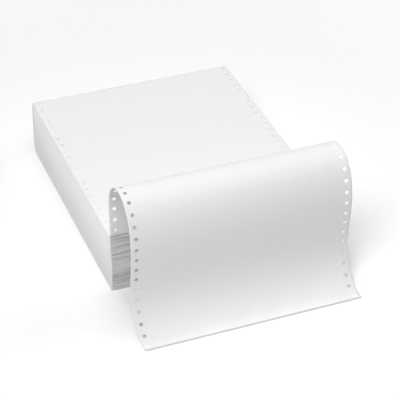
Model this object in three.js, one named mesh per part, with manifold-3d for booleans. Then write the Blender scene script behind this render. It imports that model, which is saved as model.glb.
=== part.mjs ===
// Fanfold continuous form paper: one unbroken web of paper, folded back and
// forth into a pack, with its top page lifted off, arched forward over the
// front folds and laid down on the table. Millimetres, +Z up. The origin is
// the middle of the pack's underside, +X runs along the folds and -Y is the
// side that the loose page falls over.

import * as THREE from 'three';
import { mergeVertices } from 'three/addons/utils/BufferGeometryUtils.js';
import Module from 'manifold-3d';

// Form size: 240 mm wide, 11 inches from fold to fold.
const FORM_WIDTH = 240;
const PAGE_LENGTH = 279.4;
const SHEET_THICKNESS = 0.12;

// Pack of folded pages.
const PACK_HEIGHT = 66;
const BUNDLE_HEIGHT = 1.45;
const FOLD_NOSE = 0.5;
const FRONT_BELLY = 2.4;
const BACK_BELLY = 2.8;
const BELLY_HEIGHT = 26;
const SHOULDER_RADIUS = 3.2;

// Sprocket holes, half an inch apart down both margins.
const HOLE_DIAMETER = 4;
const HOLE_PITCH = 12.7;
const HOLE_INSET = 6;
const HOLE_SIDES = 14;

// Top page: its front end bends up off the pack to the crease.
const CREASE_RISE = 4.6;
const LIP_ANGLE = 64;

// Loose page: how steeply it runs at ten even steps along its length, in
// degrees above level while going forward, from the crease to the free edge.
const PAGE_SLOPES = [92, 95, 55, 0, -58, -86, -95, -82, -44, -2];
const PAGE_STEPS = 54;
const LIP_STEPS = 8;
const SHOULDER_STEPS = 4;
const NOSE_STEPS = 3;

const HALF_WIDTH = FORM_WIDTH / 2;
const HALF_LENGTH = PAGE_LENGTH / 2;
const LIP_TURN = THREE.MathUtils.degToRad(LIP_ANGLE);
const SHEET_MIDDLE = PACK_HEIGHT - SHEET_THICKNESS / 2;

const wasm = await Module();
wasm.setup();

function toSolid(geometry) {
  geometry.deleteAttribute('normal');
  geometry.deleteAttribute('uv');
  const merged = mergeVertices(geometry, 1e-4);
  return new wasm.Manifold(new wasm.Mesh({
    numProp: 3,
    vertProperties: new Float32Array(merged.attributes.position.array),
    triVerts: new Uint32Array(merged.index.array),
  }));
}

function toGeometry(solid) {
  const mesh = solid.getMesh();
  const geometry = new THREE.BufferGeometry();
  geometry.setAttribute('position', new THREE.BufferAttribute(mesh.vertProperties, 3));
  geometry.setIndex(new THREE.BufferAttribute(mesh.triVerts, 1));
  geometry.computeVertexNormals();
  return geometry;
}

// A side outline, drawn as (forward-back, up) points, runs the full form width.
function acrossTheForm(outline) {
  const geometry = new THREE.ExtrudeGeometry(new THREE.Shape(outline), {
    depth: FORM_WIDTH,
    bevelEnabled: false,
    steps: 1,
  });
  const axes = new THREE.Matrix4().makeBasis(
    new THREE.Vector3(0, 1, 0),
    new THREE.Vector3(0, 0, 1),
    new THREE.Vector3(1, 0, 0),
  );
  geometry.applyMatrix4(axes);
  geometry.translate(-HALF_WIDTH, 0, 0);
  return toSolid(geometry);
}

// How far a face of folds stands out past the page length at a height: the
// pack is pressed flat at top and bottom and swells in between.
function bellyAt(height, top, belly) {
  const reach = height < BELLY_HEIGHT ? BELLY_HEIGHT : top - BELLY_HEIGHT;
  const away = (height - BELLY_HEIGHT) / reach;
  return belly * (1 - away * away);
}

// Rounded noses of the fold bundles up one face of the pack, bottom to top.
// side is -1 at the front and 1 at the back.
function foldNoses(side, belly, top) {
  const count = Math.round(top / BUNDLE_HEIGHT);
  const height = top / count;
  const points = [];
  for (let bundle = 0; bundle < count; bundle += 1) {
    const unevenness = 0.75 + 0.25 * Math.sin(2.4 * bundle + side);
    for (let step = 0; step < NOSE_STEPS; step += 1) {
      const share = step / NOSE_STEPS;
      const z = (bundle + share) * height;
      const nose = FOLD_NOSE * unevenness * Math.sin(Math.PI * share);
      points.push(new THREE.Vector2(side * (HALF_LENGTH + bellyAt(z, top, belly) + nose), z));
    }
  }
  points.push(new THREE.Vector2(side * HALF_LENGTH, top));
  return points;
}

// The folded pages under the top one: flat underside, two faces of folds, and
// a rounded shoulder at the front where the top folds are drawn back. They
// end in the middle of the top page, which is one with them.
function packOutline() {
  const shoulderFoot = SHEET_MIDDLE - SHOULDER_RADIUS;
  const front = foldNoses(-1, FRONT_BELLY, shoulderFoot);
  const back = foldNoses(1, BACK_BELLY, SHEET_MIDDLE);
  const shoulder = [];
  for (let step = 1; step <= SHOULDER_STEPS; step += 1) {
    const turn = (Math.PI / 2) * (step / SHOULDER_STEPS);
    shoulder.push(new THREE.Vector2(
      -HALF_LENGTH + SHOULDER_RADIUS * (1 - Math.cos(turn)),
      shoulderFoot + SHOULDER_RADIUS * Math.sin(turn),
    ));
  }
  return [...back, ...shoulder.reverse(), ...front.reverse()];
}

// Slope of the loose page at a share of its length, as a smooth curve through
// the ten even steps.
const slopeCurve = new THREE.SplineCurve(
  PAGE_SLOPES.map((slope, step) => new THREE.Vector2(step, THREE.MathUtils.degToRad(slope))),
);

// Centre line of the loose page. Each step keeps its own length, so the page
// is as long as the form whatever way it bends. lean moves the crown towards
// the crease or away from it.
function loosePage(start, lean) {
  const stepLength = PAGE_LENGTH / PAGE_STEPS;
  const points = [start.clone()];
  for (let step = 0; step < PAGE_STEPS; step += 1) {
    const share = ((step + 0.5) / PAGE_STEPS) ** lean;
    const slope = slopeCurve.getPoint(share).y;
    const last = points[points.length - 1];
    points.push(new THREE.Vector2(
      last.x - stepLength * Math.cos(slope),
      last.y + stepLength * Math.sin(slope),
    ));
  }
  return points;
}

// The lean that brings the free edge down to the table, found by halving.
function leanToTable(start) {
  let low = 0.3;
  let high = 2.5;
  for (let round = 0; round < 50; round += 1) {
    const lean = (low + high) / 2;
    const points = loosePage(start, lean);
    if (points[PAGE_STEPS].y > SHEET_THICKNESS / 2) high = lean;
    else low = lean;
  }
  return (low + high) / 2;
}

// Centre line of the top page's front end: an arc that leaves the pack level
// and turns up to the crease. The page is no longer than the folded ones, so
// the crease stands a little behind their folds.
const LIP_RADIUS = CREASE_RISE / (1 - Math.cos(LIP_TURN));
const LIP_START = -HALF_LENGTH + LIP_RADIUS * LIP_TURN;
const CREASE = new THREE.Vector2(
  LIP_START - LIP_RADIUS * Math.sin(LIP_TURN),
  SHEET_MIDDLE + CREASE_RISE,
);

function lipPoints() {
  const points = [];
  for (let step = 0; step < LIP_STEPS; step += 1) {
    const turn = LIP_TURN * (step / LIP_STEPS);
    points.push(new THREE.Vector2(
      LIP_START - LIP_RADIUS * Math.sin(turn),
      SHEET_MIDDLE + LIP_RADIUS * (1 - Math.cos(turn)),
    ));
  }
  return points;
}

// A line of points moved sideways by a distance, to the left of its direction.
function beside(line, distance) {
  return line.map((point, index) => {
    const before = line[Math.max(index - 1, 0)];
    const after = line[Math.min(index + 1, line.length - 1)];
    const along = after.clone().sub(before).normalize();
    return new THREE.Vector2(point.x - along.y * distance, point.y + along.x * distance);
  });
}

const page = loosePage(CREASE, leanToTable(CREASE));

// Top page and loose page as one thin sheet, from the back folds to the free
// edge. The sheet is drawn from its middle line.
function sheetOutline() {
  const backEdge = new THREE.Vector2(HALF_LENGTH, SHEET_MIDDLE);
  const line = [backEdge, ...lipPoints(), ...page];
  const upper = beside(line, -SHEET_THICKNESS / 2);
  const lower = beside(line, SHEET_THICKNESS / 2);
  return [...upper, ...lower.reverse()];
}

// One punch for a sprocket hole: upright, then turned by a tilt to meet the
// sheet square on.
function punch(x, y, z, depth, tilt) {
  const geometry = new THREE.CylinderGeometry(
    HOLE_DIAMETER / 2,
    HOLE_DIAMETER / 2,
    depth,
    HOLE_SIDES,
  );
  geometry.rotateX(Math.PI / 2);
  geometry.rotateX(tilt);
  geometry.translate(x, y, z);
  return toSolid(geometry);
}

const HOLES_PER_PAGE = Math.floor(PAGE_LENGTH / HOLE_PITCH + 1e-6);
const FIRST_HOLE = (PAGE_LENGTH - (HOLES_PER_PAGE - 1) * HOLE_PITCH) / 2;
const HOLE_X = HALF_WIDTH - HOLE_INSET;
const PUNCH_CLEARANCE = 2;

function punches() {
  const tools = [];
  const packDepth = PACK_HEIGHT + 2 * PUNCH_CLEARANCE;
  const pageStep = PAGE_LENGTH / PAGE_STEPS;
  for (let hole = 0; hole < HOLES_PER_PAGE; hole += 1) {
    const along = FIRST_HOLE + hole * HOLE_PITCH;
    const step = Math.min(Math.floor(along / pageStep), PAGE_STEPS - 1);
    const middle = page[step].clone().lerp(page[step + 1], along / pageStep - step);
    const run = page[step + 1].clone().sub(page[step]);
    for (const x of [-HOLE_X, HOLE_X]) {
      tools.push(punch(x, -HALF_LENGTH + along, PACK_HEIGHT / 2, packDepth, 0));
      tools.push(punch(x, middle.x, middle.y, PUNCH_CLEARANCE, Math.atan2(run.y, run.x)));
    }
  }
  return tools;
}

function fanfoldPaper() {
  let solid = acrossTheForm(packOutline()).add(acrossTheForm(sheetOutline()));
  for (const tool of punches()) {
    solid = solid.subtract(tool);
  }
  const paper = new THREE.MeshStandardMaterial({
    color: 0xf6f6f4,
    roughness: 0.9,
    metalness: 0,
  });
  const mesh = new THREE.Mesh(toGeometry(solid), paper);
  mesh.name = 'fanfold_paper';
  return mesh;
}

const model = new THREE.Group();
model.add(fanfoldPaper());

export default model;
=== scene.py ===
# %% [markdown]
# # A pack of fanfold form paper
# The object is one unbroken web of white paper. It is folded back and forth
# into a pack, and its top page is lifted off, arched forward and laid down.
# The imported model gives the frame: every piece here sits where that solid is.

# %% Load the frame
import math
import bmesh
import bpy
from mathutils import Matrix, Vector


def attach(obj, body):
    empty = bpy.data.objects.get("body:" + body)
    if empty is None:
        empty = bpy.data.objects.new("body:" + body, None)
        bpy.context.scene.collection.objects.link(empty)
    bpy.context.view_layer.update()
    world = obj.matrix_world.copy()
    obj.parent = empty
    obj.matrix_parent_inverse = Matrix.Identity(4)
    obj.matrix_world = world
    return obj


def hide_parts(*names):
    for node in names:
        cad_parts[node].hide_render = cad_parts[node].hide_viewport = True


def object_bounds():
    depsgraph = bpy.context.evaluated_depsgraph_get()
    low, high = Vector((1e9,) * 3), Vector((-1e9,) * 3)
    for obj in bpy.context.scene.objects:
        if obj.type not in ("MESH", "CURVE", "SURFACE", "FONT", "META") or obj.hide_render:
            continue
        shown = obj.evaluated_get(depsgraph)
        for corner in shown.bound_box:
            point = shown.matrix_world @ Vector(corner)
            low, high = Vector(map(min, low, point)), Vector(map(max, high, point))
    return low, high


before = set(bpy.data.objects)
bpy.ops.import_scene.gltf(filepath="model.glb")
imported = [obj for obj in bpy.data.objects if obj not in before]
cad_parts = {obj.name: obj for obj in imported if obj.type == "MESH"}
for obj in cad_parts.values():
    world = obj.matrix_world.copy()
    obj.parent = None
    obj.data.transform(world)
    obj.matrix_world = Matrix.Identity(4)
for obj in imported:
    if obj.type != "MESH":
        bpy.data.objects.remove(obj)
cad_low, cad_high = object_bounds()
MM = 0.001
scene = bpy.context.scene
form_width = cad_high[0] - cad_low[0]
print("model size in mm", [round((b - a) / MM, 1) for a, b in zip(cad_low, cad_high)])

# %% [markdown]
# ## Real sizes
# Forms like this are punched every half inch, and a page holds 22 punches, so
# it is 11 inches from fold to fold. Two pages make one fold, and 75 gram
# paper in a pressed pack takes 0.115 mm a page. The pile is what lies under
# the top page, with a hair of air between.

# %% Sizes of the form and the pack
HOLE_PITCH = 12.7 * MM
HOLES_PER_PAGE = 22
HOLE_INSET = 6 * MM
HOLE_RADIUS = 2 * MM
PAGE_LENGTH = HOLES_PER_PAGE * HOLE_PITCH
HALF_LENGTH = PAGE_LENGTH / 2
SHEET = 0.12 * MM
PACK_HEIGHT = 66 * MM
SHEET_MIDDLE = PACK_HEIGHT - SHEET / 2
SHEET_AND_AIR = 1.2 * SHEET
PILE_HEIGHT = PACK_HEIGHT - SHEET_AND_AIR
FOLDS = 287
print("page", round(PAGE_LENGTH / MM, 1), "mm,", FOLDS, "folds on each face")

# %% [markdown]
# ## Small helpers
# One function adds a node of any kind with its settings and its links, in any
# tree. Its inputs are given in order or by name, and each is a plain value, a
# socket, or a whole node, which stands for its first output.

# %% Node helper
def add_node(tree, kind, inputs=(), **settings):
    node = tree.nodes.new(kind)
    for name, value in settings.items():
        setattr(node, name, value)
    pairs = inputs.items() if isinstance(inputs, dict) else enumerate(inputs)
    for key, value in pairs:
        if isinstance(value, bpy.types.Node):
            value = value.outputs[0]
        if isinstance(value, bpy.types.NodeSocket):
            tree.links.new(value, node.inputs[key])
        else:
            node.inputs[key].default_value = value
    return node


# %% Object and colour helpers
def linked(name, data):
    """A new object with this data, in the scene."""
    item = bpy.data.objects.new(name, data)
    scene.collection.objects.link(item)
    return item


def linear(hex_colour):
    """An sRGB hex colour as linear RGBA."""
    channels = [int(hex_colour[i:i + 2], 16) / 255 for i in (1, 3, 5)]
    return [c / 12.92 if c <= 0.04045 else ((c + 0.055) / 1.055) ** 2.4 for c in channels] + [1]


# %% Material helpers
PAPER_IOR = 1.5


def new_material(name):
    """A material, its node tree and its shader."""
    material = bpy.data.materials.new(name)
    material.use_nodes = True
    return material, material.node_tree, material.node_tree.nodes["Principled BSDF"]


def set_surface(tree, shader, colour, bump, roughness, shine):
    """Colour and bump are linked. Numbers for the whole surface go on the shader itself."""
    tree.links.new(colour.outputs[2], shader.inputs["Base Color"])
    tree.links.new(bump.outputs[0], shader.inputs["Normal"])
    shader.inputs["Roughness"].default_value = roughness
    shader.inputs["IOR"].default_value = PAPER_IOR
    shader.inputs["Specular IOR Level"].default_value = shine


# %% [markdown]
# ## Uncoated bond paper
# The web is white bond paper straight off a paper machine, with no coating.
# Its fibres lie unevenly, so the sheet is very slightly cloudy at a scale of
# a few millimetres, and its surface is dull all over. The clouds are a broad
# noise in the colour. The fibres are about 1 mm long and far thinner than the
# picture can show, so they are drawn as a fine bump.

# %% Bond paper
PAPER_WHITE = "#F8F8F8"
PAPER_CLOUD = "#F5F5F5"
CLOUD_SIZE = 5 * MM
FIBRE_SIZE = 0.5 * MM
FIBRE_DEPTH = 0.02 * MM


def bond_paper():
    material, tree, shader = new_material("uncoated_bond_paper")
    place = add_node(tree, "ShaderNodeTexCoord").outputs["Object"]
    clouds = add_node(tree, "ShaderNodeTexNoise",
                      {"Vector": place, "Scale": 1 / CLOUD_SIZE, "Detail": 3.0})
    colour = add_node(tree, "ShaderNodeMix",
                      {0: clouds, 6: linear(PAPER_CLOUD), 7: linear(PAPER_WHITE)}, data_type="RGBA")
    fibres = add_node(tree, "ShaderNodeTexNoise",
                      {"Vector": place, "Scale": 1 / FIBRE_SIZE, "Detail": 2.0})
    bump = add_node(tree, "ShaderNodeBump",
                    {"Height": fibres, "Strength": 0.12, "Distance": FIBRE_DEPTH})
    set_surface(tree, shader, colour, bump, roughness=0.92, shine=0.3)
    return material


paper = bond_paper()
print("made", paper.name)

# %% [markdown]
# ## Edges and folds of the pile
# The sides of the pack are hundreds of slit paper edges, and its ends are
# hundreds of folds. From a step away they blend into one dull face with
# level streaks, where a few pages stand a hair in or out. Each streak is a
# few pages high and runs along the pack, so the noise is squeezed along Z.
# Slit edges are nearly as white as the paper. The walls of the punched bores are given a darker
# tone, which is painted shade inside the holes. On the folds the dark streaks are painted shade in
# the slits between them. The topmost folds are drawn smooth by the page above them, so their top 3
# mm gets no painted shade lines and keeps the light tone.

# %% Streaky paper
STREAK_LENGTH = 90 * MM
STREAK_DEPTH = 0.05 * MM
DARKEST_NOISE, LIGHTEST_NOISE = 0.35, 0.62
PLAIN_FADE = 2 * MM
NO_LIMIT = 1.0


# Streaks between a dark and a light tone. On slit edges they are the edges' own uneven tone; on the
# bore walls and the folds the dark tone is painted shade.
def streaky_paper(name, dark_tone, light_tone, streak_height, plain_above=NO_LIMIT):
    material, tree, shader = new_material(name)
    place = add_node(tree, "ShaderNodeTexCoord").outputs["Object"]
    squeeze = add_node(tree, "ShaderNodeMapping", {
        "Vector": place, "Scale": (1 / STREAK_LENGTH, 1 / STREAK_LENGTH, 1 / streak_height)})
    streaks = add_node(tree, "ShaderNodeTexNoise", {"Vector": squeeze, "Scale": 1.0, "Detail": 4.0})
    contrast = add_node(tree, "ShaderNodeMapRange", {
        "Value": streaks, "From Min": DARKEST_NOISE, "From Max": LIGHTEST_NOISE})
    height = add_node(tree, "ShaderNodeSeparateXYZ", (place,)).outputs[2]
    plain = add_node(tree, "ShaderNodeMapRange", {
        "Value": height, "From Min": plain_above - PLAIN_FADE, "From Max": plain_above})
    lightness = add_node(tree, "ShaderNodeMath", (contrast, plain), operation="MAXIMUM")
    colour = add_node(tree, "ShaderNodeMix",
                      {0: lightness, 6: linear(dark_tone), 7: linear(light_tone)}, data_type="RGBA")
    bump = add_node(tree, "ShaderNodeBump",
                    {"Height": streaks, "Strength": 0.25, "Distance": STREAK_DEPTH})
    set_surface(tree, shader, colour, bump, roughness=0.95, shine=0.2)
    return material


edges = streaky_paper("slit_paper_edges", "#EEEEEE", "#F7F7F7", 0.9 * MM)
# The bore walls' darker tone is painted shade inside the punched holes.
bore_walls_painted_shade = streaky_paper("punched_paper_edges", "#C8C8C8", "#D8D8D8", 0.9 * MM)
# The folds' dark streaks are painted shade in the slits between folds; the top 3 mm keeps the light
# tone.
fold_faces_painted_shade = streaky_paper("folded_paper_noses", "#DADADA", "#F8F8F8", 1.2 * MM,
                           plain_above=PACK_HEIGHT - 3 * MM)
print("made", edges.name, bore_walls_painted_shade.name, fold_faces_painted_shade.name)

# %% [markdown]
# ## The line that the web follows
# Seen from the side, the two open pages are one line. The top page lies level
# on the pile and its front end turns up in an arc to the crease. The loose
# page goes on from there. Its bend is given as a slope at ten even steps, and
# the line is walked in short steps of equal length, so the page keeps its
# length whatever way it bends.

# %% Walking a side line
PAGE_SLOPES = [92, 95, 55, 0, -58, -86, -95, -82, -44, -2]
WALK = 0.55 * MM


def smooth_slope(share):
    """The page's slope in radians at a share of its length, on a smooth curve."""
    last = len(PAGE_SLOPES) - 1
    step = min(int(share * last), last - 1)
    part = share * last - step
    a, b, c, d = (PAGE_SLOPES[min(max(step + k, 0), last)] for k in (-1, 0, 1, 2))
    into, out = (c - a) / 2, (d - b) / 2
    cubic = (2 * b - 2 * c + into + out) * part ** 3 + (3 * c - 3 * b - 2 * into - out) * part ** 2
    return math.radians(cubic + into * part + b)


def walk(start, length, slope_at):
    """Points along a side line from start, each one WALK further on, going towards -Y."""
    steps = round(length / WALK)
    points = [start]
    for step in range(steps):
        slope = slope_at((step + 0.5) / steps)
        y, z = points[-1]
        stride = length / steps
        points.append((y - stride * math.cos(slope), z + stride * math.sin(slope)))
    return points


# %% [markdown]
# ## Letting the page down
# The bend is shifted along the page until the free edge just meets the table,
# which halving a range finds. The last stretch then curls up a hair, as the
# end of a page does, and is let down again until its lowest point lies on the
# table. The cockle that is added later sinks it by the last 0.08 mm.

# %% Side line of the web
CREASE_RISE = 4.6 * MM
LIP_TURN = math.radians(64)
LIP_RADIUS = CREASE_RISE / (1 - math.cos(LIP_TURN))
LIP_START = -HALF_LENGTH + LIP_RADIUS * LIP_TURN
LEAN_RANGE = (0.3, 2.5)
HALVINGS = 40
EDGE_CURL = 4.0 * MM
CURL_LENGTH = 16 * MM
SETTLE_LENGTH = 60 * MM
SETTLE_ROUNDS = 6
LOWEST_MIDDLE = SHEET / 2 + 0.08 * MM


def loose_page(crease):
    low, high = LEAN_RANGE
    for _ in range(HALVINGS):
        lean = (low + high) / 2
        points = walk(crease, PAGE_LENGTH, lambda share: smooth_slope(share ** lean))
        if points[-1][1] > SHEET / 2:
            high = lean
        else:
            low = lean
    return points


def raised_end(points, rise, length):
    """The line with its free end raised, the raise fading out over a length."""
    last = len(points) - 1
    return [(y, z + rise * max(0, 1 - (last - k) * WALK / length) ** 2)
            for k, (y, z) in enumerate(points)]


level = walk((HALF_LENGTH, SHEET_MIDDLE), HALF_LENGTH - LIP_START, lambda share: 0)
lip = walk(level[-1], LIP_RADIUS * LIP_TURN, lambda share: share * LIP_TURN)
page = raised_end(loose_page(lip[-1]), EDGE_CURL, CURL_LENGTH)
for _ in range(SETTLE_ROUNDS):
    lowest = min(z for _, z in page)
    page = raised_end(page, LOWEST_MIDDLE - lowest, SETTLE_LENGTH)
web_line = level + lip[1:] + page[1:]
print("crease at", [round(c / MM, 1) for c in lip[-1]],
      "crown", round(max(z for _, z in page) / MM, 1),
      "free edge at", [round(c / MM, 2) for c in page[-1]])

# %% [markdown]
# ## Punched paper with Geometry Nodes
# A sprocket hole every half inch down both margins is a pattern that repeats,
# so a node tree makes it. It first lays the paper out flat. One square tile
# of the margin is a grid whose middle is deleted and whose inner ring is
# pulled into a circle. The tile is set down along both margins, a plain grid
# fills the middle, and the seams are merged.

# %% A tree with named inputs
def new_tree(name, geometry, numbers, counts, materials):
    """A Geometry Nodes tree, and the sockets of its input node."""
    tree = bpy.data.node_groups.new(name, "GeometryNodeTree")
    inputs = [(geometry, "Geometry", None)]
    inputs += [(label, "Float", value) for label, value in numbers.items()]
    inputs += [(label, "Int", value) for label, value in counts.items()]
    inputs += [(label, "Material", None) for label in materials]
    for label, kind, value in inputs:
        socket = tree.interface.new_socket(label, in_out="INPUT", socket_type="NodeSocket" + kind)
        if value is not None:
            socket.default_value = value
    tree.interface.new_socket("Result", in_out="OUTPUT", socket_type="NodeSocketGeometry")
    return tree, tree.nodes.new("NodeGroupInput").outputs


# %% A tile with a round hole
GRID_CELLS = 12
HOLE_SHARE = 1 / 3


def holed_tile(tree, given):
    width = add_node(tree, "ShaderNodeMath", (given["Inset"], 2.0), operation="MULTIPLY")
    half_pitch = add_node(tree, "ShaderNodeMath", (given["Pitch"], 0.5), operation="MULTIPLY")
    tile = add_node(tree, "GeometryNodeMeshGrid", {
        "Size X": width, "Size Y": given["Pitch"],
        "Vertices X": GRID_CELLS + 1, "Vertices Y": GRID_CELLS + 1,
    })
    here = add_node(tree, "GeometryNodeInputPosition")
    split = add_node(tree, "ShaderNodeSeparateXYZ", (here,)).outputs
    shares = []
    for part, half in ((split[0], given["Inset"]), (split[1], half_pitch)):
        share = add_node(tree, "ShaderNodeMath", (part, half), operation="DIVIDE")
        shares.append(add_node(tree, "ShaderNodeMath", (share,), operation="ABSOLUTE"))
    ring = add_node(tree, "ShaderNodeMath", shares, operation="MAXIMUM")
    inside = add_node(tree, "FunctionNodeCompare", (ring, HOLE_SHARE), operation="LESS_THAN")
    opened = add_node(tree, "GeometryNodeDeleteGeometry", (tile, inside), domain="FACE")

    # The inner ring becomes a circle, and the rim of the tile stays square.
    past_hole = add_node(tree, "ShaderNodeMath", (ring, HOLE_SHARE), operation="SUBTRACT")
    outward = add_node(tree, "ShaderNodeMath", (past_hole, 1 - HOLE_SHARE), operation="DIVIDE")
    direction = add_node(tree, "ShaderNodeVectorMath", (here,), operation="NORMALIZE")
    circle = add_node(tree, "ShaderNodeVectorMath",
                      {0: direction, "Scale": given["Hole radius"]}, operation="SCALE")
    blend = add_node(tree, "ShaderNodeMix", {0: outward, 4: circle, 5: here}, data_type="VECTOR")
    return add_node(tree, "GeometryNodeSetPosition", {0: opened, "Position": blend.outputs[1]})


# %% Two punched margins
def web_length(tree, given):
    return add_node(tree, "ShaderNodeMath", (given["Pitch"], given["Holes"]), operation="MULTIPLY")


def punched_margins(tree, given):
    tile = holed_tile(tree, given)
    half_width = add_node(tree, "ShaderNodeMath", (given["Width"], 0.5), operation="MULTIPLY")
    hole_line = add_node(tree, "ShaderNodeMath", (half_width, given["Inset"]), operation="SUBTRACT")
    half_pitch = add_node(tree, "ShaderNodeMath", (given["Pitch"], 0.5), operation="MULTIPLY")
    stride = add_node(tree, "ShaderNodeCombineXYZ", {1: given["Pitch"]})
    margins = []
    for side in (-1, 1):
        offset = add_node(tree, "ShaderNodeMath", (hole_line, side), operation="MULTIPLY")
        start = add_node(tree, "ShaderNodeCombineXYZ", {0: offset, 1: half_pitch})
        row = add_node(tree, "GeometryNodeMeshLine", {
            "Count": given["Holes"], "Start Location": start, "Offset": stride})
        tiles = add_node(tree, "GeometryNodeInstanceOnPoints", {"Points": row, "Instance": tile})
        margins.append(add_node(tree, "GeometryNodeRealizeInstances", (tiles,)))
    return margins


# %% The flat web
MERGE_DISTANCE = 0.02 * MM


def flat_web(tree, given):
    """Margins and middle in one flat sheet, with X across and Y along the web."""
    length = web_length(tree, given)
    cells = add_node(tree, "ShaderNodeMath", (given["Holes"], GRID_CELLS), operation="MULTIPLY")
    rows = add_node(tree, "ShaderNodeMath", (cells, 1), operation="ADD")
    both_margins = add_node(tree, "ShaderNodeMath", (given["Inset"], 4.0), operation="MULTIPLY")
    width = add_node(tree, "ShaderNodeMath", (given["Width"], both_margins), operation="SUBTRACT")
    middle = add_node(tree, "GeometryNodeMeshGrid", {
        "Size X": width, "Size Y": length,
        "Vertices X": given["Middle columns"], "Vertices Y": rows,
    })
    half = add_node(tree, "ShaderNodeMath", (length, 0.5), operation="MULTIPLY")
    shift = add_node(tree, "ShaderNodeCombineXYZ", {1: half})
    placed = add_node(tree, "GeometryNodeTransform", {0: middle, "Translation": shift})
    joined = add_node(tree, "GeometryNodeJoinGeometry")
    for part in (*punched_margins(tree, given), placed):
        tree.links.new(part.outputs[0], joined.inputs[0])
    return add_node(tree, "GeometryNodeMergeByDistance", {0: joined, "Distance": MERGE_DISTANCE})


def trimmed_ends(tree, given, web):
    """The web without the rows that lie past the trim at either end."""
    here = add_node(tree, "GeometryNodeInputPosition")
    along = add_node(tree, "ShaderNodeSeparateXYZ", (here,)).outputs[1]
    far = add_node(tree, "ShaderNodeMath", (web_length(tree, given), given["End trim"]),
                   operation="SUBTRACT")
    at_start = add_node(tree, "FunctionNodeCompare", (along, given["End trim"]),
                        operation="LESS_THAN")
    at_end = add_node(tree, "FunctionNodeCompare", (along, far), operation="GREATER_THAN")
    either = add_node(tree, "FunctionNodeBooleanMath", (at_start, at_end), operation="OR")
    return add_node(tree, "GeometryNodeDeleteGeometry", (web, either), domain="FACE")


# %% [markdown]
# ## Bending the flat sheet
# Every point of the flat sheet looks up the side line at its own distance
# along the web and moves there, so the holes bend with the paper as real ones
# do. Paper is never quite flat, so it also cockles: the level page stands up
# a hair here and there, and the loose page sinks in. The cockle fades out at
# the fold between the pages and at the free edge.

# %% Bend and cockle
def bent_web(tree, given, web):
    here = add_node(tree, "GeometryNodeInputPosition")
    split = add_node(tree, "ShaderNodeSeparateXYZ", (here,)).outputs
    measured = add_node(tree, "GeometryNodeStoreNamedAttribute",
                        {"Geometry": web, "Name": "along", "Value": split[1]},
                        data_type="FLOAT", domain="POINT")
    reach = add_node(tree, "GeometryNodeSampleCurve", {0: given["Side line"], "Length": split[1]},
                     mode="LENGTH", use_all_curves=True)
    sideways = add_node(tree, "ShaderNodeCombineXYZ", {0: split[0]})
    target = add_node(tree, "ShaderNodeVectorMath", (reach.outputs["Position"], sideways),
                      operation="ADD")
    return add_node(tree, "GeometryNodeSetPosition", {0: measured, "Position": target})


def cockle_fade(tree, given, along, length):
    """0 at the fold and the free edge and 1 elsewhere, with a minus on the level page."""
    page_length = add_node(tree, "ShaderNodeMath", (length, 0.5), operation="MULTIPLY")
    past_fold = add_node(tree, "ShaderNodeMath", (along, page_length), operation="SUBTRACT")
    ahead = add_node(tree, "ShaderNodeMath", (past_fold, given["Cockle size"]), operation="DIVIDE")
    left_over = add_node(tree, "ShaderNodeMath", (length, along), operation="SUBTRACT")
    to_end = add_node(tree, "ShaderNodeMath", (left_over, given["Cockle size"]),
                      operation="DIVIDE")
    from_fold = add_node(tree, "ShaderNodeMath", (ahead,), operation="ABSOLUTE")
    nearest = add_node(tree, "ShaderNodeMath", (from_fold, to_end), operation="MINIMUM")
    fade = add_node(tree, "ShaderNodeMath", (nearest, 1.0), operation="MINIMUM")
    side = add_node(tree, "ShaderNodeMath", (ahead,), operation="SIGN")
    return add_node(tree, "ShaderNodeMath", (fade, side), operation="MULTIPLY")


def cockled_web(tree, given, web):
    along = add_node(tree, "GeometryNodeInputNamedAttribute", {"Name": "along"}, data_type="FLOAT")
    fade = cockle_fade(tree, given, along, web_length(tree, given))
    scale = add_node(tree, "ShaderNodeMath", (1.0, given["Cockle size"]), operation="DIVIDE")
    lumps = add_node(tree, "ShaderNodeTexNoise", {"Scale": scale, "Detail": 1.0})
    depth = add_node(tree, "ShaderNodeMath", (lumps, given["Cockle"]), operation="MULTIPLY")
    height = add_node(tree, "ShaderNodeMath", (depth, fade), operation="MULTIPLY")
    normal = add_node(tree, "GeometryNodeInputNormal")
    lifted = add_node(tree, "ShaderNodeVectorMath", {0: normal, "Scale": height},
                      operation="SCALE")
    return add_node(tree, "GeometryNodeSetPosition", {0: web, "Offset": lifted})


# %% Punched web tree
def punched_web_tree():
    numbers = {"Width": form_width, "Pitch": HOLE_PITCH, "Inset": HOLE_INSET,
               "Hole radius": HOLE_RADIUS, "End trim": 0.0, "Cockle": 0.0, "Cockle size": 22 * MM}
    counts = {"Holes": HOLES_PER_PAGE, "Middle columns": 9}
    tree, given = new_tree("punched_web", "Side line", numbers, counts, ["Paper"])
    flat = trimmed_ends(tree, given, flat_web(tree, given))
    cockled = cockled_web(tree, given, bent_web(tree, given, flat))
    smooth = add_node(tree, "GeometryNodeSetShadeSmooth", (cockled,))
    real = add_node(tree, "GeometryNodeRealizeInstances", (smooth,))
    finish = add_node(tree, "GeometryNodeSetMaterial", {0: real, "Material": given["Paper"]})
    add_node(tree, "NodeGroupOutput", (finish,))
    return tree


punched_web = punched_web_tree()
print("punched web tree has", len(punched_web.nodes), "nodes")

# %% [markdown]
# ## From a tree to a plain mesh
# A modifier's inputs are set by each socket's identifier. The evaluated
# result is then copied to a plain mesh, so that nothing live is left on it.

# %% Applying a tree
def set_inputs(modifier, **values):
    for item in modifier.node_group.interface.items_tree:
        name = item.name.lower().replace(" ", "_")
        if item.item_type == "SOCKET" and item.in_out == "INPUT" and name in values:
            modifier[item.identifier] = values[name]


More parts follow.
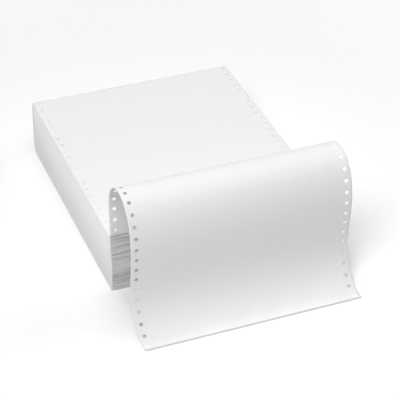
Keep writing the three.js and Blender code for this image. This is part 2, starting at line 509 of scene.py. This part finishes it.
def baked(holder, name):
    """The evaluated mesh of an object, as a new object at the origin. The holder goes."""
    bpy.context.view_layer.update()
    graph = bpy.context.evaluated_depsgraph_get()
    mesh = bpy.data.meshes.new_from_object(holder.evaluated_get(graph))
    mesh.name = name
    bpy.data.objects.remove(holder)
    return linked(name, mesh)


# %% A punched sheet along a line
def side_curve(name, points):
    curve = bpy.data.curves.new(name, "CURVE")
    curve.dimensions = "3D"
    spline = curve.splines.new("POLY")
    spline.points.add(len(points) - 1)
    for spot, (y, z) in zip(spline.points, points):
        spot.co = (0, y, z, 1)
    return linked(name, curve)


def thicken(piece, thickness):
    solidify = piece.modifiers.new("thickness", "SOLIDIFY")
    solidify.thickness = thickness
    solidify.offset = 0
    solidify.use_even_offset = True


def punched_sheet(name, points, thickness, material, **inputs):
    holder = side_curve(name + "_line", points)
    modifier = holder.modifiers.new("punched web", "NODES")
    modifier.node_group = punched_web
    set_inputs(modifier, paper=material, **inputs)
    flat = baked(holder, name + "_middle")
    thicken(flat, thickness)
    return baked(flat, name)


# %% [markdown]
# ## The open pages
# The top page and the loose page are one strip of two page lengths, laid
# along the side line and given the thickness of the paper.

# %% Open pages
open_pages = punched_sheet("open_pages", web_line, SHEET, paper, holes=2 * HOLES_PER_PAGE,
                           middle_columns=25, cockle=0.3 * MM)
print("open pages:", len(open_pages.data.polygons), "faces")

# %% [markdown]
# ## The pile of folded pages
# The pages under the top one are pressed so tight that their middle is one
# block with a bore under every sprocket hole. The same tree makes it: a flat
# page, trimmed a little at both ends, thickened to the height of the pile.
# Its front and back are then filled with real folds. Its flat faces are plain paper, and the walls
# of the bores are given a darker punched-edge tone, which is painted shade inside the holes.

# %% Pile block
TRIM_ROWS = 3
TRIM = TRIM_ROWS * HOLE_PITCH / GRID_CELLS
WALL = HALF_LENGTH - TRIM
PILE_STEPS = 100
LEVEL_FACING = 0.5
pile_line = [(HALF_LENGTH - k * PAGE_LENGTH / PILE_STEPS, PILE_HEIGHT / 2)
             for k in range(PILE_STEPS + 1)]
pile = punched_sheet("pile_of_pages", pile_line, PILE_HEIGHT, paper, holes=HOLES_PER_PAGE,
                     end_trim=TRIM)
# The walls of the bores take the darker tone, which is painted shade inside the holes.
pile.data.materials.append(bore_walls_painted_shade)
for face in pile.data.polygons:
    face.material_index = 0 if abs(face.normal.z) > LEVEL_FACING else 1
print("pile:", len(pile.data.polygons), "faces")

# %% [markdown]
# ## Folds, one by one
# Each fold is two pages joined by a tight round nose, 0.23 mm high. One fold
# is modelled as a long thin bar with a rounded nose. The slit sides of the
# pile are made in the same way from a square bar, which stands for two folds.
# It has more cuts close to its ends, so that it can bend up there together
# with the raised folds.

# %% One fold and one slit edge
FOLD_HEIGHT = PILE_HEIGHT / FOLDS
NOSE_POINTS = 4
FOLD_SPANS = 10
EDGE_DEPTH = 2 * MM
EDGES = 144
EDGE_HEIGHT = PILE_HEIGHT / EDGES
EDGE_SPANS = 6
END_CUT = 1.3 * MM
END_CUTS = 6


def fold_outline():
    radius = FOLD_HEIGHT / 2
    nose = []
    for k in range(NOSE_POINTS + 1):
        turn = math.pi * (k / NOSE_POINTS - 0.5)
        nose.append((TRIM - radius + radius * math.cos(turn), radius * math.sin(turn)))
    return [(0, -radius), *nose, (0, radius)]


def edge_outline():
    half = EDGE_HEIGHT / 2
    return [(0, -half), (EDGE_DEPTH, -half), (EDGE_DEPTH, half), (0, half)]


def even_cuts(length, spans):
    return [length * (k / spans - 0.5) for k in range(spans + 1)]


def close_end_cuts(length, spans):
    """Even cuts, with more of them close together in the last few millimetres of both ends."""
    half = length / 2
    close = [half - k * END_CUT for k in range(END_CUTS)]
    middle = even_cuts(2 * (half - END_CUTS * END_CUT), spans)
    return [-c for c in close] + middle + close[::-1]


# %% A bar along X
def bar(name, outline, cuts):
    """A closed bar, cut at the given places. Its outline is (outward, up) points."""
    shape = bmesh.new()
    rings = [[shape.verts.new((x, y, z)) for y, z in outline] for x in cuts]
    for a, b in zip(rings, rings[1:]):
        for k in range(len(outline)):
            n = (k + 1) % len(outline)
            shape.faces.new((a[k], a[n], b[n], b[k]))
    shape.faces.new(rings[0][::-1])
    shape.faces.new(rings[-1])
    bmesh.ops.recalc_face_normals(shape, faces=shape.faces)
    mesh = bpy.data.meshes.new(name)
    shape.to_mesh(mesh)
    shape.free()
    return linked(name, mesh)


# %% [markdown]
# ## Stacking the bars
# A tree stacks a copy of the bar for every fold and pushes each nose in or
# out. The whole face swells where the pack is loosest, and not at all at the
# foot and at the shoulder. Bundles of folds step in and out together and are
# a little rounded. Single folds differ by a hair, and here and there a deeper
# gap parts two bundles. At the front the top folds draw back in a shoulder.

# %% How far a face swells out
def face_swell(tree, given, height, shoulder_foot):
    away = add_node(tree, "ShaderNodeMath", (height, given["Belly height"]), operation="SUBTRACT")
    above = add_node(tree, "ShaderNodeMath", (away, 0.0), operation="GREATER_THAN")
    upper = add_node(tree, "ShaderNodeMath", (shoulder_foot, given["Belly height"]),
                     operation="SUBTRACT")
    longer = add_node(tree, "ShaderNodeMath", (upper, given["Belly height"]),
                      operation="SUBTRACT")
    more = add_node(tree, "ShaderNodeMath", (above, longer), operation="MULTIPLY")
    reach = add_node(tree, "ShaderNodeMath", (given["Belly height"], more), operation="ADD")
    ratio = add_node(tree, "ShaderNodeMath", (away, reach), operation="DIVIDE")
    size = add_node(tree, "ShaderNodeMath", (ratio,), operation="ABSOLUTE")
    power = add_node(tree, "ShaderNodeMath", (size, given["Swell power"]), operation="POWER")
    swell = add_node(tree, "ShaderNodeMath", (1.0, power), operation="SUBTRACT")
    kept = add_node(tree, "ShaderNodeMath", (swell, 0.0), operation="MAXIMUM")
    return add_node(tree, "ShaderNodeMath", (given["Belly"], kept), operation="MULTIPLY")


# %% How far a bundle steps in
SEED_STRIDE = 37.0
DRIFT_SCALE = 0.7
DRIFT = 2.0
ROUNDNESS = 2.5


def bundle_draw(tree, given, height):
    place = add_node(tree, "ShaderNodeMath", (height, given["Bundle size"]), operation="DIVIDE")
    start = add_node(tree, "ShaderNodeMath", (given["Seed"], SEED_STRIDE), operation="MULTIPLY")
    seeded = add_node(tree, "ShaderNodeMath", (place, start), operation="ADD")
    noise = add_node(tree, "ShaderNodeTexNoise",
                     {"W": seeded, "Scale": DRIFT_SCALE, "Detail": 1.0}, noise_dimensions="1D")
    drift = add_node(tree, "ShaderNodeMath", (noise, DRIFT), operation="MULTIPLY")
    drifted = add_node(tree, "ShaderNodeMath", (seeded, drift), operation="ADD")
    bundle = add_node(tree, "ShaderNodeMath", (drifted,), operation="FLOOR")
    chance = add_node(tree, "FunctionNodeRandomValue", {"ID": bundle, "Seed": given["Seed"]},
                      data_type="FLOAT").outputs[1]
    step = add_node(tree, "ShaderNodeMath", (chance, given["Bundle step"]), operation="MULTIPLY")

    # Rounding, from nothing in a bundle's middle to most at its top and foot.
    part = add_node(tree, "ShaderNodeMath", (drifted,), operation="FRACT")
    doubled = add_node(tree, "ShaderNodeMath", (part, 2.0), operation="MULTIPLY")
    centred = add_node(tree, "ShaderNodeMath", (doubled, 1.0), operation="SUBTRACT")
    size = add_node(tree, "ShaderNodeMath", (centred,), operation="ABSOLUTE")
    power = add_node(tree, "ShaderNodeMath", (size, ROUNDNESS), operation="POWER")
    rounding = add_node(tree, "ShaderNodeMath", (power, given["Bundle nose"]),
                        operation="MULTIPLY")
    return add_node(tree, "ShaderNodeMath", (rounding, step), operation="ADD")


# %% How far one bar slips in, and the shoulder
SMALLEST = 1e-6


def bar_slip(tree, given):
    """A bar's own slip, and the depth of the gap if it is one of the few drawn far in."""
    order = add_node(tree, "GeometryNodeInputIndex")
    chance = add_node(tree, "FunctionNodeRandomValue", {"ID": order, "Seed": given["Seed"]},
                      data_type="FLOAT").outputs[1]
    slip = add_node(tree, "ShaderNodeMath", (chance, given["Slip"]), operation="MULTIPLY")
    is_gap = add_node(tree, "ShaderNodeMath", (chance, given["Gap share"]), operation="LESS_THAN")
    gap = add_node(tree, "ShaderNodeMath", (is_gap, given["Gap depth"]), operation="MULTIPLY")
    return slip, gap


def shoulder_draw(tree, given, height, shoulder_foot):
    """The draw at the top. A face without a shoulder divides by SMALLEST, not by nothing."""
    past_foot = add_node(tree, "ShaderNodeMath", (height, shoulder_foot), operation="SUBTRACT")
    depth = add_node(tree, "ShaderNodeMath", (given["Shoulder"], SMALLEST), operation="MAXIMUM")
    into = add_node(tree, "ShaderNodeMath", (past_foot, depth), operation="DIVIDE", use_clamp=True)
    square = add_node(tree, "ShaderNodeMath", (into, into), operation="MULTIPLY")
    return add_node(tree, "ShaderNodeMath", (square, given["Shoulder draw"]),
                    operation="MULTIPLY")


# %% How far a bar is pushed out in all
DEEPEST_SHARE = 0.85


def bar_push(tree, given, height):
    foot = add_node(tree, "ShaderNodeMath", (given["Pile height"], given["Shoulder"]),
                    operation="SUBTRACT")
    swell = face_swell(tree, given, height, foot)
    slip, gap = bar_slip(tree, given)
    drawn = shoulder_draw(tree, given, height, foot)
    uneven = add_node(tree, "ShaderNodeMath", (bundle_draw(tree, given, height), slip),
                      operation="ADD")
    deep = add_node(tree, "ShaderNodeMath", (gap, drawn), operation="ADD")
    back = add_node(tree, "ShaderNodeMath", (uneven, deep), operation="ADD")
    push = add_node(tree, "ShaderNodeMath", (swell, back), operation="SUBTRACT")
    deepest = add_node(tree, "ShaderNodeMath", (given["Reach"], -DEEPEST_SHARE),
                       operation="MULTIPLY")
    return add_node(tree, "ShaderNodeMath", (push, deepest), operation="MAXIMUM")


# %% [markdown]
# ## Moving the noses
# Each bar keeps its push as an attribute. After the copies are made real, the
# nose moves by that push and the end at the wall stays. A slow wave along the
# bar keeps the folds from being dead straight: it is about 70 mm long across
# the form and 4 mm high up the pile.

# %% Moved noses
WAVES_ACROSS = 14.0
WAVES_UP = 260.0


def moved_noses(tree, given, bars, split):
    stored = add_node(tree, "GeometryNodeInputNamedAttribute", {"Name": "push"}, data_type="FLOAT")
    share = add_node(tree, "ShaderNodeMath", (split[1], given["Reach"]), operation="DIVIDE")
    across = add_node(tree, "ShaderNodeMath", (split[0], WAVES_ACROSS), operation="MULTIPLY")
    up_pile = add_node(tree, "ShaderNodeMath", (split[2], WAVES_UP), operation="MULTIPLY")
    place = add_node(tree, "ShaderNodeCombineXYZ", {0: across, 2: up_pile})
    noise = add_node(tree, "ShaderNodeTexNoise", {"Vector": place, "Scale": 1.0, "Detail": 1.0})
    wave = add_node(tree, "ShaderNodeMath", (noise, given["Wave"]), operation="MULTIPLY")
    pushed = add_node(tree, "ShaderNodeMath", (stored, wave), operation="SUBTRACT")
    total = add_node(tree, "ShaderNodeMath", (pushed, share), operation="MULTIPLY")
    outward = add_node(tree, "ShaderNodeMath", (total, given["Wall"]), operation="ADD")
    move = add_node(tree, "ShaderNodeCombineXYZ", {1: outward})
    return add_node(tree, "GeometryNodeSetPosition", {0: bars, "Offset": move})


# %% Stacked bars tree
END_FACING = 0.9


def stacked_bars_tree():
    numbers = {"Bar height": FOLD_HEIGHT, "Pile height": PILE_HEIGHT, "Wall": WALL, "Reach": TRIM,
               "Belly": 0.0, "Belly height": 26 * MM, "Swell power": 2.0, "Shoulder": 0.0,
               "Shoulder draw": 1.9 * MM, "Bundle step": 0.0, "Bundle size": 1.45 * MM,
               "Bundle nose": 0.0, "Slip": 0.0, "Gap depth": 0.0, "Gap share": 0.0, "Wave": 0.0}
    tree, given = new_tree("stacked_bars", "Bar", numbers, {"Bars": FOLDS, "Seed": 3},
                           ["Paper", "Slit"])
    stride = add_node(tree, "ShaderNodeCombineXYZ", {2: given["Bar height"]})
    half_bar = add_node(tree, "ShaderNodeMath", (given["Bar height"], 0.5), operation="MULTIPLY")
    start = add_node(tree, "ShaderNodeCombineXYZ", {2: half_bar})
    column = add_node(tree, "GeometryNodeMeshLine", {
        "Count": given["Bars"], "Start Location": start, "Offset": stride})
    copies = add_node(tree, "GeometryNodeInstanceOnPoints",
                      {"Points": column, "Instance": given["Bar"]})
    here = add_node(tree, "GeometryNodeInputPosition")
    split = add_node(tree, "ShaderNodeSeparateXYZ", (here,)).outputs
    push = bar_push(tree, given, split[2])
    kept = add_node(tree, "GeometryNodeStoreNamedAttribute",
                    {"Geometry": copies, "Name": "push", "Value": push},
                    data_type="FLOAT", domain="INSTANCE")
    real = add_node(tree, "GeometryNodeRealizeInstances", (kept,))
    moved = moved_noses(tree, given, real, split)

    # The bar has one finish, and its two flat ends show slit edges.
    normal = add_node(tree, "GeometryNodeInputNormal")
    facing = add_node(tree, "ShaderNodeSeparateXYZ", (normal,)).outputs
    sideways = add_node(tree, "ShaderNodeMath", (facing[0],), operation="ABSOLUTE")
    is_end = add_node(tree, "ShaderNodeMath", (sideways, END_FACING), operation="GREATER_THAN")
    coated = add_node(tree, "GeometryNodeSetMaterial", {0: moved, "Material": given["Paper"]})
    finish = add_node(tree, "GeometryNodeSetMaterial",
                      {0: coated, "Selection": is_end, "Material": given["Slit"]})
    add_node(tree, "NodeGroupOutput", (finish,))
    return tree


stacked_bars = stacked_bars_tree()
print("stacked bars tree has", len(stacked_bars.nodes), "nodes")


# %% One face of the pile
def stacked_face(name, shape, turn, **inputs):
    modifier = shape.modifiers.new("stacked bars", "NODES")
    modifier.node_group = stacked_bars
    set_inputs(modifier, **inputs)
    face = baked(shape, name)
    face.data.transform(Matrix.Rotation(turn, 4, "Z"))
    print(name, len(face.data.polygons), "faces")
    return face


# %% Front folds and back folds
SHOULDER = 4.5 * MM
# The folds' material paints shade lines between the folds.
fold_inputs = dict(paper=fold_faces_painted_shade, slit=edges, slip=0.15 * MM, wave=0.3 * MM,
                   bundle_step=0.7 * MM, bundle_nose=1.5 * MM, bundle_size=1.7 * MM)
fold_cuts = even_cuts(form_width, FOLD_SPANS)
front_folds = stacked_face(
    "front_folds", bar("front_fold", fold_outline(), fold_cuts), math.pi,
    belly=2.9 * MM, shoulder=SHOULDER, gap_share=0.02, gap_depth=1.2 * MM, seed=3, **fold_inputs)
back_folds = stacked_face(
    "back_folds", bar("back_fold", fold_outline(), fold_cuts), 0,
    belly=3.2 * MM, swell_power=3.5, gap_share=0.03, gap_depth=1.0 * MM, seed=8, **fold_inputs)

# %% Slit sides
side_inputs = dict(paper=edges, slit=edges, wall=form_width / 2 - EDGE_DEPTH, reach=EDGE_DEPTH,
                   bars=EDGES, bar_height=EDGE_HEIGHT, bundle_step=0.12 * MM,
                   bundle_size=2.6 * MM, slip=0.05 * MM, wave=0.1 * MM)
side_cuts = close_end_cuts(2 * WALL, EDGE_SPANS)
left_edges = stacked_face(
    "left_slit_edges", bar("left_edge", edge_outline(), side_cuts), math.pi / 2,
    seed=5, **side_inputs)
right_edges = stacked_face(
    "right_slit_edges", bar("right_edge", edge_outline(), side_cuts), -math.pi / 2,
    seed=6, **side_inputs)

# %% [markdown]
# ## One pack
# Block, folds and slit edges are joined, because on the real thing they are
# one web.

# %% Folded pages
def joined(name, parts):
    shape = bmesh.new()
    materials = []
    for part in parts:
        slots = []
        for material in part.data.materials:
            if material not in materials:
                materials.append(material)
            slots.append(materials.index(material))
        first = len(shape.faces)
        shape.from_mesh(part.data)
        shape.faces.ensure_lookup_table()
        for face in shape.faces[first:]:
            face.material_index = slots[face.material_index]
        bpy.data.objects.remove(part)
    mesh = bpy.data.meshes.new(name)
    shape.to_mesh(mesh)
    shape.free()
    for material in materials:
        mesh.materials.append(material)
    return linked(name, mesh)


folded_pages = joined("folded_pages", [pile, front_folds, back_folds, left_edges, right_edges])
print("folded pages:", len(folded_pages.data.polygons), "faces")

# %% [markdown]
# ## Folds that spring up
# A fold is stiffer than flat paper, so the pack is thickest along its folds.
# Freed of the page that pressed on them, the top folds at the front spring
# up and carry the top page's end with them, up to its crease. The move is
# full at the top of the pile and fades out a few millimetres down.

# %% Raised front folds
RAISED_DEPTH = 9 * MM
UNDER_SHEET = 0.975


def lip_rise(y):
    """How far the top page's end stands above its flat part at a place."""
    ahead = min(max(LIP_START - y, 0), LIP_RADIUS * math.sin(LIP_TURN))
    return LIP_RADIUS - math.sqrt(LIP_RADIUS ** 2 - ahead ** 2)


for vertex in folded_pages.data.vertices:
    share = min(max(1 - (PILE_HEIGHT - vertex.co.z) / RAISED_DEPTH, 0), 1)
    vertex.co.z += UNDER_SHEET * lip_rise(vertex.co.y) * share * share * (3 - 2 * share)
print("front folds rise by", round(UNDER_SHEET * lip_rise(-HALF_LENGTH) / MM, 2), "mm at the top")

# %% [markdown]
# ## Riding and standing in
# Both pieces ride on the model's one body. Together they stand for its solid.

# %% Riding and standing in
for piece in (open_pages, folded_pages):
    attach(piece, "root")
    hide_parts("fanfold_paper")
    piece.data.calc_loop_triangles()
    print(piece.name, len(piece.data.loop_triangles), "triangles")

# %% [markdown]
# ## Floor
# A product photograph like this stands on a white sweep. The floor is white
# card. What the camera sees of it is lifted a little and runs into plain
# white away from the pack, while the pack's soft shadow stays. Under the pack
# and the arch it isn't lifted, so that the holes of the loose page show the
# shade behind them. The unlifted part ends a little inside the form's sides.

# %% White card
FLOOR_SIZE = 8.0
FLOOR_LIFT = 0.09
SHADOW_REACH = 0.36
LIFT_EDGE = 5 * MM
UNLIFTED = ((-116 * MM, 100 * MM), (cad_low[1], cad_high[1]))


def seen_by_camera(tree):
    """1 for what the camera sees, straight or in gloss or glass, and 0 for plain light."""
    path = add_node(tree, "ShaderNodeLightPath").outputs
    mirrored = (path["Is Glossy Ray"], path["Is Transmission Ray"])
    indirect = add_node(tree, "ShaderNodeMath", mirrored, operation="MAXIMUM")
    return add_node(tree, "ShaderNodeMath", (path["Is Camera Ray"], indirect), operation="MAXIMUM")


def open_floor(tree, place):
    """0 under the pack and the arch, and 1 outside."""
    spot = add_node(tree, "ShaderNodeSeparateXYZ", (place,)).outputs
    past = []
    for axis, (low, high) in enumerate(UNLIFTED):
        off = add_node(tree, "ShaderNodeMath", (spot[axis], (low + high) / 2), operation="SUBTRACT")
        size = add_node(tree, "ShaderNodeMath", (off,), operation="ABSOLUTE")
        past.append(add_node(tree, "ShaderNodeMath", (size, (high - low) / 2),
                             operation="SUBTRACT"))
    most = add_node(tree, "ShaderNodeMath", past, operation="MAXIMUM")
    outside = add_node(tree, "ShaderNodeMath", (most, LIFT_EDGE), operation="DIVIDE")
    return add_node(tree, "ShaderNodeMath", (outside, 1.0), operation="ADD", use_clamp=True)


def far_floor(tree, place):
    """0 within the reach of the shadow, and 1 at twice that reach and beyond."""
    away = add_node(tree, "ShaderNodeVectorMath", (place,), operation="LENGTH").outputs["Value"]
    past = add_node(tree, "ShaderNodeMath", (away, SHADOW_REACH), operation="SUBTRACT")
    return add_node(tree, "ShaderNodeMath", (past, SHADOW_REACH), operation="DIVIDE",
                    use_clamp=True)


# %% Floor
def white_card():
    material, tree, shader = new_material("white_card_sweep")
    tree.nodes.remove(shader)
    place = add_node(tree, "ShaderNodeTexCoord").outputs["Object"]
    seen = seen_by_camera(tree)
    tone = add_node(tree, "ShaderNodeMix",
                    {0: seen, 6: linear("#F8F8F8"), 7: linear("#FFFFFF")}, data_type="RGBA")
    card = add_node(tree, "ShaderNodeBsdfDiffuse", {"Color": tone.outputs[2]})
    most_lift = add_node(tree, "ShaderNodeMath", (seen, FLOOR_LIFT), operation="MULTIPLY")
    strength = add_node(tree, "ShaderNodeMath", (most_lift, open_floor(tree, place)),
                        operation="MULTIPLY")
    lift = add_node(tree, "ShaderNodeEmission", {"Color": (1, 1, 1, 1), "Strength": strength})
    both = add_node(tree, "ShaderNodeAddShader", (card, lift))
    blank = add_node(tree, "ShaderNodeEmission", {"Color": (1, 1, 1, 1), "Strength": 1.0})
    share = add_node(tree, "ShaderNodeMath", (seen, far_floor(tree, place)), operation="MULTIPLY")
    sweep = add_node(tree, "ShaderNodeMixShader", (share, both, blank))
    tree.links.new(sweep.outputs[0], tree.nodes["Material Output"].inputs["Surface"])
    return material


floor_mesh = bpy.data.meshes.new("floor")
half_floor = FLOOR_SIZE / 2
floor_mesh.from_pydata([(-half_floor, -half_floor, 0), (half_floor, -half_floor, 0),
                        (half_floor, half_floor, 0), (-half_floor, half_floor, 0)],
                       [], [(0, 1, 2, 3)])
floor_mesh.materials.append(white_card())
floor = linked("floor", floor_mesh)
print("floor", FLOOR_SIZE, "m wide")

# %% [markdown]
# ## Light
# The light is soft and comes from all sides. A key lamp stands at the front
# left, softboxes hang overhead, to the right and behind, and a weak fill
# keeps the slit side bright. Their powers were matched to the photograph's
# tones. The world is white to the camera, and gives the pack little light.

# %% Lamps
AIM = (0, -0.08, 0.05)
LAMPS = (
    ("front_left_key", (-0.8, -0.9, 1.7), 1.0, 19.0),
    ("overhead_softbox", (0, -0.35, 1.9), 1.4, 8.3),
    ("right_softbox", (1.5, -0.1, 1.2), 1.4, 9.2),
    ("back_softbox", (0, 1.1, 1.6), 1.4, 7.7),
    ("low_left_fill", (-1.5, -0.3, 0.22), 0.4, 2.3),
)


def soft_lamp(name, place, width, power):
    data = bpy.data.lights.new(name, "AREA")
    data.shape = "DISK"
    data.size = width
    data.energy = power
    lamp = linked(name, data)
    lamp.location = place
    lamp.rotation_euler = (Vector(AIM) - Vector(place)).to_track_quat("-Z", "Y").to_euler()


for lamp_settings in LAMPS:
    soft_lamp(*lamp_settings)
print(len(LAMPS), "lamps,", round(sum(power for *_, power in LAMPS), 1), "W in all")

# %% World
WORLD_STRENGTH = 0.07
world = bpy.data.worlds.new("white_studio")
world.use_nodes = True
scene.world = world
sky = world.node_tree
extra = add_node(sky, "ShaderNodeMath", (seen_by_camera(sky), 1 - WORLD_STRENGTH),
                 operation="MULTIPLY")
strength = add_node(sky, "ShaderNodeMath", (extra, WORLD_STRENGTH), operation="ADD")
backdrop = sky.nodes["Background"]
backdrop.inputs["Color"].default_value = (1, 1, 1, 1)
sky.links.new(strength.outputs[0], backdrop.inputs["Strength"])
print("world strength", WORLD_STRENGTH)

# %% [markdown]
# ## Camera
# The camera stands in front and to the left, well above the pack, with a long
# lens. Its place, aim and lens come from matching known points of the form,
# such as the punched holes half an inch apart, to where they show.

# %% Camera
CAMERA_PLACE = Vector((-520.07, -1376.0, 1053.08)) * MM
CAMERA_YAW, CAMERA_PITCH, CAMERA_ROLL = (math.radians(a) for a in (21.92, 35.77, -0.83))
SENSOR_WIDTH, LENS_LENGTH = 36, 143.80
forward = Vector((math.sin(CAMERA_YAW) * math.cos(CAMERA_PITCH),
                  math.cos(CAMERA_YAW) * math.cos(CAMERA_PITCH), -math.sin(CAMERA_PITCH)))
level_right = Vector((math.cos(CAMERA_YAW), -math.sin(CAMERA_YAW), 0))
down = forward.cross(level_right)
right = math.cos(CAMERA_ROLL) * level_right + math.sin(CAMERA_ROLL) * down
up = math.sin(CAMERA_ROLL) * level_right - math.cos(CAMERA_ROLL) * down
lens = bpy.data.cameras.new("camera")
lens.sensor_width = SENSOR_WIDTH
lens.lens = LENS_LENGTH
camera = linked("camera", lens)
turn = Matrix((right, up, -forward)).transposed().to_4x4()
camera.matrix_world = Matrix.Translation(CAMERA_PLACE) @ turn
scene.camera = camera
scene.view_settings.view_transform = "Standard"
print("camera", round(CAMERA_PLACE.length, 2), "m from the pack, lens", LENS_LENGTH, "mm")

# %% Sizes
print("packed box", [[round(c / MM, 2) for c in corner] for corner in (cad_low, cad_high)])
